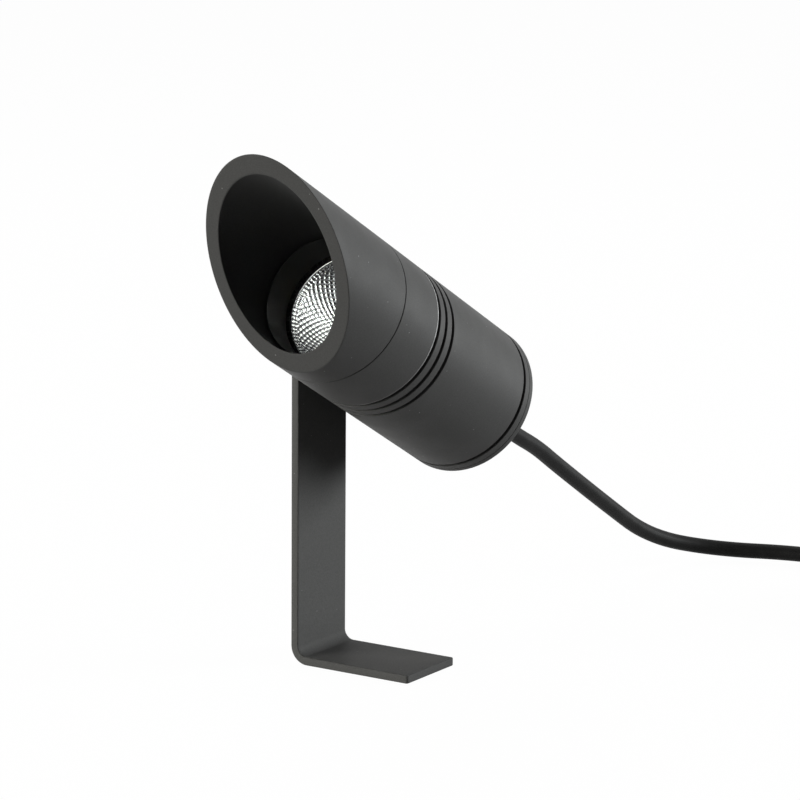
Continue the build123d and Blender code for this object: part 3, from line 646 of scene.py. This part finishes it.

# %% [markdown]
# ## The hood
# The hood is a tube with its front sawn off at a slant, long side on top. One way is to build a tube and
# slice it. Here the slant is in the formula instead: the straight tube's outline is carried round the
# axis, and every point near the mouth slides along the axis by its own height times the slope of the
# cut. The softened rim slides with it and keeps its shape. Faces on the bore take a darker finish, as
# painted shade.

# %% Hood
hood_seam, hood_short_side = 0.3, 11.0
hood_rear = body_front + hood_seam
hood_socket_radius, hood_socket_front = 28.0, 54.8
hood_bore = 24.6
cut_slope = math.tan(math.radians(46.0))
cut_station = body_front + hood_short_side + barrel_radius * cut_slope
still_part, sliding_rim = 0.6, 1.2
slide_from, slide_to = hood_socket_front + still_part, cut_station - sliding_rim
# Faces within this skin of the bore take the painted shade; the rim's last part keeps the coat.
shade_skin, grey_rim = 0.05, 0.3

hood_corners = [
    (hood_socket_radius, hood_rear), (barrel_radius, hood_rear), (barrel_radius, cut_station),
    (hood_bore, cut_station), (hood_bore, hood_socket_front), (hood_socket_radius, hood_socket_front),
]
hood_breaks = [0.15, seam_break, 0.4, 0.35, 0.12, 0.15]
hood_outline = soften(hood_corners, hood_breaks)
points, faces = turned(hood_outline)
slide = np.clip((points[..., 2] - slide_from) / (slide_to - slide_from), 0.0, 1.0)
points[..., 2] += slide * points[..., 1] * cut_slope
middle_radius, middle_station = face_middles(hood_outline, faces).T
# The bore's faces get the darker finish, which is painted shade.
inside_bore = (middle_radius < hood_bore + shade_skin) & (middle_station < cut_station - grey_rim)
hood = make_piece("glare_hood", on_barrel(points), faces, [coat, bore_painted_shade], inside_bore)
stand_for(hood, "hood", "hood")

# %% [markdown]
# ## The bezel and the glass
# A black conical ring clamps the glass, and its narrow front lip draws the dark circle that shows in
# the hood's bore. Both pieces are round, so both are turned from an outline like the housing.

# %% Bezel ring and glass
glass_front, glass_back = 43.5, 40.5
glass_play, bezel_play = 0.2, 0.05
bezel_outer = glass_seat_radius - bezel_play
bezel_wall = 2.5
bezel_shoulder = spigot_front - 0.8
bezel_front = 56.6
bezel_lip_gap, bezel_lip_wall = 0.75, 0.40
bezel_lip_outer = hood_bore - bezel_lip_gap
bezel_lip_inner = bezel_lip_outer - bezel_lip_wall
bezel_corners = [
    (bezel_outer, glass_front), (bezel_outer, bezel_shoulder), (bezel_lip_outer, bezel_shoulder),
    (bezel_lip_outer, bezel_front), (bezel_lip_inner, bezel_front), (bezel_outer - bezel_wall, glass_front),
]
points, faces = turned(soften(bezel_corners, [0.1, 0.2, 0.1, 0.2, 0.15, 0.15]))
bezel = make_piece("bezel_cone", on_barrel(points), faces, [bezel_black])
stand_for(bezel, "bezel_ring", "head")

glass_radius = glass_seat_radius - glass_play
glass_corners = [
    (0.0, glass_back), (glass_radius, glass_back), (glass_radius, glass_front), (0.0, glass_front),
]
points, faces = turned(soften(glass_corners, [axis_break, 0.3, 0.3, axis_break]))
front_glass = make_piece("front_glass", on_barrel(points), faces, [glass])
stand_for(front_glass, "lens_glass", "head")

# %% [markdown]
# ## The reflector
# The bowl is a parabola pressed into small facets, which break the light up into dots. A normal map
# could fake them, but the photograph shows them bent and stretched by the bowl, so they are real
# shape. Two rows of small square facets run round the rim. Below them the facets lie in crossing
# spirals, so each is a lozenge. Height on a facet is the sum of two arches, one across each pair of its
# sides, which leaves a crease where two meet.

# %% Reflector's facets
neck_radius, neck_station, throat_station = 8.0, 17.6, 20.0
mouth_radius, mouth_station = 22.3, 39.5
lozenges_round, lozenge_row, lozenge_height = 54, 1.35, 0.30
rim_facets_round, rim_facet_row, rim_facet_height = 90, 1.35, 0.28
rim_rows = 2


def bowl_radius(station):
    """A straight neck, then the bowl: the square of the radius grows evenly from the throat to the
    mouth, which is a parabola."""
    share = np.maximum(station - throat_station, 0.0) / (mouth_station - throat_station)
    return np.sqrt(neck_radius**2 * (1 - share) + mouth_radius**2 * share)


def arch(count):
    """An arch between whole numbers: nothing on them, one half-way."""
    return 1 - (2 * (count % 1.0) - 1) ** 2


def facet_height(turn, depth):
    """Two rows of small square facets at the rim; below them staggered rows of lozenges, whose sides run
    along the two spirals turn + row / 2 and turn - row / 2. Both turn and depth are whole arrays."""
    squares = arch(turn * rim_facets_round) + arch(depth / rim_facet_row)
    below = depth - rim_rows * rim_facet_row
    row = below / lozenge_row
    count = turn * lozenges_round
    lozenges = arch(count + row / 2) + arch(count - row / 2)
    return np.where(below < 0, rim_facet_height * squares / 2, lozenge_height * lozenges / 2)


# %% Reflector
steps_round, step_down = 540, 0.17
fine_steps = 2000
fine_station = np.linspace(mouth_station, neck_station, fine_steps)
fine_step = np.hypot(np.diff(fine_station), np.diff(bowl_radius(fine_station)))
fine_depth = np.concatenate([[0.0], np.cumsum(fine_step)])
depth = np.linspace(0.0, fine_depth[-1], round(fine_depth[-1] / step_down) + 1)[::-1]
bowl_station = np.interp(depth, fine_depth, fine_station)
turn = np.linspace(0.0, 1.0, steps_round, endpoint=False)[:, None]
narrowing = bowl_radius(bowl_station) / mouth_radius * (bowl_station > throat_station)
inner = bowl_radius(bowl_station) - facet_height(turn, depth) * narrowing
angle = turn * 2 * math.pi
inside = np.stack([inner * np.cos(angle), inner * np.sin(angle), bowl_station + 0 * angle], axis=-1)

rim_radius, rim_thickness, rim_edge, rim_fillet = 22.8, 1.2, 0.1, 0.35
wall_thickness, wall_start, wall_rows = 0.8, 1.6, 12
rim_back = mouth_station - rim_thickness
rim_outline = [
    (mouth_radius + rim_edge, mouth_station), (rim_radius, mouth_station),
    (rim_radius, rim_back), (mouth_radius + rim_fillet, rim_back),
]
back_station = np.linspace(mouth_station - wall_start, neck_station, wall_rows)
back_wall = np.column_stack([bowl_radius(back_station) + wall_thickness, back_station])
outside, _ = turned(np.concatenate([rim_outline, back_wall]), steps_round)
points = np.concatenate([inside, outside], axis=1)
faces = grid_faces(points.shape[0], points.shape[1])
reflector = make_piece("faceted_reflector", on_barrel(points), faces, [mirror_metal])
stand_for(reflector, "reflector", "head")

# %% [markdown]
# ## The light source
# At the bottom of the bowl sits a chip-on-board lamp: a round pool of yellow phosphor in a low white
# dam. It is one turned outline, and a face's distance from the axis says which of the two it is.

# %% Light source
board_front = 16.1
emitter_radius, emitter_height, dam_width = 7.0, 1.0, 0.9
phosphor_edge, phosphor_middle = 0.7, 0.85
dam_inner = emitter_radius - dam_width
dam_skin = 0.06
emitter_corners = [
    (0.0, board_front), (emitter_radius, board_front), (emitter_radius, board_front + emitter_height),
    (dam_inner, board_front + emitter_height), (dam_inner, board_front + phosphor_edge),
    (0.0, board_front + phosphor_middle),
]
emitter_outline = soften(emitter_corners, [axis_break, 0.1, 0.35, 0.3, 0.1, axis_break])
points, faces = turned(emitter_outline, small_turn_steps)
is_dam = face_middles(emitter_outline, faces)[:, 0] > dam_inner - dam_skin
emitter = make_piece("light_source", on_barrel(points), faces, [phosphor, dam_white], is_dam)
stand_for(emitter, "led_emitter", "head")

# %% [markdown]
# ## The rear cap
# A disc closes the barrel and is held by three sunk screws. The disc is turned like the rest. The
# recesses for the screw heads aren't round about the barrel's axis, so three rods are cut out of it.

# %% Rear cap
cap_back, cap_inside = -55.4, -46.6
gland_hole, cap_spigot, cap_hollow = 6.06, 24.95, 16.0
cap_corners = [
    (gland_hole, cap_back), (barrel_radius, cap_back), (barrel_radius, body_rear), (cap_spigot, body_rear),
    (cap_spigot, cap_inside), (cap_hollow, cap_inside), (cap_hollow, body_rear), (gland_hole, body_rear),
]
points, faces = turned(soften(cap_corners, [0.15, 0.5, seam_break, 0.1, 0.2, 0.2, 0.2, 0.1]))
rear_cap = make_piece("rear_disc", on_barrel(points), faces, [coat])

screw_count, screw_circle = 3, 21.5
recess_radius, recess_depth, recess_overshoot = 3.05, 3.0, 1.0
recesses = []
for screw_angle in np.radians(90.0 + 360.0 / screw_count * np.arange(screw_count)):
    offset = np.array([math.cos(screw_angle), math.sin(screw_angle), 0.0]) * screw_circle
    recess = plain_rod(
        "recess", lambda grid, shift=offset: on_barrel(grid + shift),
        recess_radius, cap_back - recess_overshoot, cap_back + recess_depth, coat,
    )
    recesses.append(recess)
cut_away(rear_cap, recesses)
stand_for(rear_cap, "rear_cap", "head")

# %% [markdown]
# ## The cable gland
# A gland with a six-sided nut and a tapered rubber tail leads the cable out and keeps water from
# getting in. A hexagon could be drawn and bevelled, but one with soft corners also has a short formula:
# add the cosines to its three pairs of flats, each raised to a high power, and take the root. So the
# gland is turned first, and then no radius may pass that hexagon.

# %% Cable gland
flat_to_flat = 14.0
corner_sharpness = 26.0
hexagon_steps = 144
gland_flange_back, gland_neck_back, gland_nut_back, tail_end = -60.4, -66.4, -71.4, -91.4
gland_inside, gland_thread, gland_neck = -48.6, 6.0, 5.6
seal_bore, seal_radius, tail_tip_radius = 3.3, 4.7, 3.9
gland_play = 0.05
seal_front = gland_flange_back + 2.4
seal_seat = seal_radius + gland_play


def six_sided(outline):
    """A turned outline whose radius never passes a hexagon with soft corners."""
    points, faces = turned(outline, hexagon_steps)
    angle = np.linspace(0.0, 2 * math.pi, hexagon_steps, endpoint=False)
    flats = angle[:, None] - np.radians([0.0, 60.0, 120.0])
    power = (np.abs(np.cos(flats)) ** corner_sharpness).sum(axis=1) ** (1 / corner_sharpness)
    limit = (flat_to_flat / 2 / power)[:, None]
    radius = np.hypot(points[..., 0], points[..., 1])
    shrink = np.minimum(radius, limit) / np.maximum(radius, 1e-9)
    points[..., :2] *= shrink[..., None]
    return points, faces


corner_radius = flat_to_flat / math.sqrt(3)
gland_corners = [
    (seal_bore, gland_inside), (gland_thread, gland_inside), (gland_thread, cap_back),
    (corner_radius, cap_back), (corner_radius, gland_flange_back), (gland_neck, gland_flange_back),
    (gland_neck, gland_neck_back), (seal_seat, gland_neck_back), (seal_seat, seal_front),
    (seal_bore, seal_front),
]
points, faces = six_sided(soften(gland_corners, [0.2, 0.4, 0.1, 0.5, 0.5, 0.1, 0.2, 0.1, 0.1, 0.1]))
gland = make_piece("gland_body_moulded", on_barrel(points), faces, [nylon])
stand_for(gland, "gland_body", "head")

nut_bore, nut_ledge = gland_neck + gland_play, gland_neck_back - gland_play
nut_dome, nut_mouth_wall = 2.6, 1.3
nut_corners = [
    (nut_bore, gland_flange_back), (corner_radius, gland_flange_back),
    (corner_radius, gland_nut_back + nut_dome), (seal_radius + nut_mouth_wall, gland_nut_back),
    (seal_seat, gland_nut_back), (seal_seat, nut_ledge), (nut_bore, nut_ledge),
]
points, faces = six_sided(soften(nut_corners, [0.1, 0.5, 1.2, 0.6, 0.1, 0.1, 0.1]))
nut = make_piece("gland_nut_moulded", on_barrel(points), faces, [nylon])
stand_for(nut, "gland_nut", "head")

tail_corners = [
    (seal_bore, seal_front), (seal_radius, seal_front), (seal_radius, gland_nut_back),
    (tail_tip_radius, tail_end), (seal_bore, tail_end),
]
points, faces = turned(soften(tail_corners, [0.1, 0.1, 0.8, 0.4, 0.02]), small_turn_steps)
tail = make_piece("gland_tail", on_barrel(points), faces, [seal_rubber])
stand_for(tail, "gland_seal", "head")

# %% [markdown]
# ## The strip
# The stand is one strip of metal, bent once: a foot, a bend and an upright with a half-round top, where
# the tilt bolt passes. It is drawn flat first, as a sheet-metal worker would mark it out, and then
# folded: a distance along the strip becomes a place on the foot, in the bend or on the upright. One
# Bevel rounds the foot's two corners, Solidify gives the sheet its thickness, and a second Bevel breaks
# its edges. Live modifiers do this better than a formula, because they follow the fold.

# %% Strip's measures and its fold
strip_low, strip_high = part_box("bracket")
strip_thickness = 3.2 * mm
half_width = (strip_high.y - strip_low.y) / 2
foot_corner = 1.0 * mm
bend_radius = 4.0 * mm + strip_thickness / 2
bolt_hole_radius = 3.06 * mm
bend_end_x = strip_low.x + strip_thickness / 2 + bend_radius
foot_run = strip_high.x - bend_end_x
bend_run = bend_radius * math.pi / 2
bend_top = strip_thickness / 2 + bend_radius
hinge_run = foot_run + bend_run + hinge[2] - bend_top


def fold(run, side):
    """A place on the flat strip, (run, side), carried onto the foot, round the bend and up."""
    turn = np.clip((run - foot_run) / bend_radius, 0.0, math.pi / 2)
    rise = np.maximum(run - foot_run - bend_run, 0.0)
    x = strip_high.x - np.minimum(run, foot_run) - bend_radius * np.sin(turn)
    z = bend_top - bend_radius * np.cos(turn) + rise
    return np.stack([x, side, z], axis=-1)


print("strip", round((hinge_run + half_width) / mm, 1), "mm long before it is bent")

# %% Strip laid flat and folded
columns, foot_rows, bend_rows, rise_rows = 25, 15, 19, 22
crown_steps, eye_rings = 49, 9
foot_runs = np.linspace(0.0, foot_run, foot_rows)
bend_runs = np.linspace(foot_run, foot_run + bend_run, bend_rows)[1:]
rise_runs = np.linspace(foot_run + bend_run, hinge_run - half_width, rise_rows)[1:]
runs = np.concatenate([foot_runs, bend_runs, rise_runs])[:, None]
column_share = np.linspace(-1.0, 1.0, columns)
plain_sheet = fold(runs + 0 * column_share, half_width * column_share + 0 * runs)

below = np.column_stack([np.full(columns, -half_width), half_width * column_share])
climb = np.linspace(-half_width, 0.0, columns // 2 + 1)[1:]
right_side = np.column_stack([climb, np.full(len(climb), half_width)])
crown_angle = np.linspace(0.0, math.pi, crown_steps)[1:-1]
crown = half_width * np.column_stack([np.sin(crown_angle), np.cos(crown_angle)])
left_side = np.column_stack([climb[::-1], np.full(len(climb), -half_width)])
edge = np.concatenate([below, right_side, crown, left_side])
reach = np.linalg.norm(edge, axis=1, keepdims=True)
ring_share = np.linspace(0.0, 1.0, eye_rings)[:, None, None]
rings = edge / reach * bolt_hole_radius * (1 - ring_share) + edge * ring_share
eye = fold(hinge_run + rings[..., 0], rings[..., 1])

sheet_faces = grid_faces(len(runs), columns, False, False)
eye_faces = grid_faces(len(rings), len(edge), False, True) + plain_sheet.size // 3
points = np.concatenate([plain_sheet.reshape(-1, 3), eye.reshape(-1, 3)])
strip = make_piece("bent_strip", points, np.concatenate([sheet_faces, eye_faces]), [strip_coat])
strip.vertex_groups.new(name="foot_corners").add([0, columns - 1], 1.0, "REPLACE")
round_corners = strip.modifiers.new("round_corners", "BEVEL")
round_corners.affect = "VERTICES"
round_corners.limit_method = "VGROUP"
round_corners.vertex_group = "foot_corners"
round_corners.width = foot_corner
round_corners.segments = 5
thickness = strip.modifiers.new("thickness", "SOLIDIFY")
thickness.thickness = strip_thickness
thickness.offset = 0.0
thickness.use_even_offset = True
soft_edges = strip.modifiers.new("soft_edges", "BEVEL")
soft_edges.width = 0.4 * mm
soft_edges.segments = 3
soft_edges.limit_method = "ANGLE"
soft_edges.angle_limit = math.radians(50)
stand_for(strip, "bracket", "bracket")

# %% [markdown]
# ## The small pieces that stay as solids
# Bolts, washers, wires and everything sealed inside the barrel already have the right shape, so they
# keep their solids and only get a finish.

# %% Finishes on the solids
finish_of_node = {
    steel: [
        "pivot_bolt", "flat_washer", "spring_washer", "cap_screws", "holder_screws", "driver_screws",
        "earth_screw",
    ],
    spacer_metal: ["pivot_spacer"],
    seal_rubber: ["hood_o_ring", "lens_gasket", "rear_o_ring"],
    nylon: ["gland_locknut", "friction_washer", "coil_tie"],
    board_white: ["led_board"],
    holder_white: ["led_holder"],
    thermal_grey: ["thermal_pad"],
    driver_plastic: ["driver_case", "terminal_block"],
    cord_rubber: ["cord_entry"],
    wire_brown: ["core_brown", "supply_cores"],
    wire_blue: ["core_blue"],
    wire_red: ["led_leads"],
    wire_earth: ["core_earth", "earth_lead"],
    tinned: ["ferrules", "earth_lug"],
}
for finish, names in finish_of_node.items():
    for name in names:
        slots = frame["nodes"][name].data.materials
        slots.clear()
        slots.append(finish)
print("solids with a finish", sum(len(names) for names in finish_of_node.values()))

# %% [markdown]
# ## Floor and world
# The photograph has a white surround. A floor lit until it is white would also light the lamp from
# below. Here the floor and the world are white only to the camera, to reflections and through glass,
# and light nothing else. The floor keeps a share of its own shading, so that a soft shadow stays under
# the foot.

# %% Floor
floor_size, floor_level = 12.0, 0.30
white_share, white_strength = 0.90, 1.09


def seen_directly(tree):
    """One for rays from the camera, off shiny surfaces and through glass, and nothing for others."""
    path = add_node(tree, "LightPath")
    seen = path.outputs["Is Camera Ray"]
    for ray in ("Is Glossy Ray", "Is Transmission Ray"):
        either = add_node(tree, "Math", operation="ADD", use_clamp=True)
        tree.links.new(seen, either.inputs[0])
        tree.links.new(path.outputs[ray], either.inputs[1])
        seen = either.outputs[0]
    return seen


corner_signs = np.array([(-1, -1, 0), (1, -1, 0), (1, 1, 0), (-1, 1, 0)])
floor_mesh = bpy.data.meshes.new("floor")
floor_mesh.from_pydata((corner_signs * floor_size / 2).tolist(), [], [(0, 1, 2, 3)])
floor = bpy.data.objects.new("floor", floor_mesh)
bpy.context.scene.collection.objects.link(floor)
paper, tree, shader = start_finish("white_floor", Roughness=0.9, Specular_IOR_Level=0.0)
shader.inputs["Base Color"].default_value = (*grey(floor_level), 1.0)
white_part = add_node(tree, "Math", {1: white_share}, operation="MULTIPLY")
tree.links.new(seen_directly(tree), white_part.inputs[0])
white = add_node(tree, "Emission", {"Strength": white_strength})
choose_shader(tree, white_part.outputs[0], shader.outputs[0], white.outputs[0], "Material Output")
floor_mesh.materials.append(paper)
print("floor", floor_size, "m wide")

# %% World
ambient_strength, shown_strength = 0.003, 1.0
plain_white = (1.0, 1.0, 1.0, 1.0)
world = bpy.data.worlds.new("white_surround")
bpy.context.scene.world = world
world.use_nodes = True
tree = world.node_tree
ambient = tree.nodes["Background"]
ambient.inputs["Color"].default_value = plain_white
ambient.inputs["Strength"].default_value = ambient_strength
shown = add_node(tree, "Background", {"Color": plain_white, "Strength": shown_strength})
choose_shader(tree, seen_directly(tree), ambient.outputs[0], shown.outputs[0], "World Output")
print("world light", ambient_strength)

# %% [markdown]
# ## The lamps
# Two large soft lamps stand low on opposite sides, behind on the right and in front on the left, and
# leave the dark band along the barrel that the photograph has. A weak one in front lifts the rim of the
# hood, and a weak one from above lights what faces up. Area lamps suit this, because their size sets
# how soft the shading is.

# %% Lamps
lamp_distance = 2.0
lamp_target = Vector((0.0, 0.0, 0.12))


def soft_lamp(name, around, above, size, power, tint):
    """A square studio lamp, placed by its angles round and above the barrel, that looks at its middle."""
    round_angle, height_angle = math.radians(around), math.radians(above)
    outward = Vector((
        math.cos(round_angle) * math.cos(height_angle),
        math.sin(round_angle) * math.cos(height_angle),
        math.sin(height_angle),
    ))
    data = bpy.data.lights.new(name, "AREA")
    data.size = size
    data.energy = power
    data.color = tint
    lamp = bpy.data.objects.new(name, data)
    lamp.location = lamp_target + outward * lamp_distance
    lamp.rotation_mode = "QUATERNION"
    lamp.rotation_quaternion = (-outward).to_track_quat("-Z", "Y")
    lamp.visible_camera = False
    bpy.context.scene.collection.objects.link(lamp)
    print(name, power, "W")


soft_lamp("rear_right_lamp", around=43.0, above=5.0, size=1.0, power=53.0, tint=(0.97, 1.0, 1.0))
soft_lamp("left_lamp", around=229.0, above=5.0, size=1.0, power=46.0, tint=(1.0, 1.0, 0.96))
soft_lamp("front_lamp", around=258.0, above=6.0, size=0.7, power=6.0, tint=(1.0, 1.0, 0.88))
soft_lamp("high_lamp", around=140.0, above=50.0, size=1.0, power=9.0, tint=(1.0, 1.0, 1.0))

# %% [markdown]
# ## The view
# The picture is shown with the Standard view transform.

# %% The view transform
bpy.context.scene.view_settings.view_transform = "Standard"
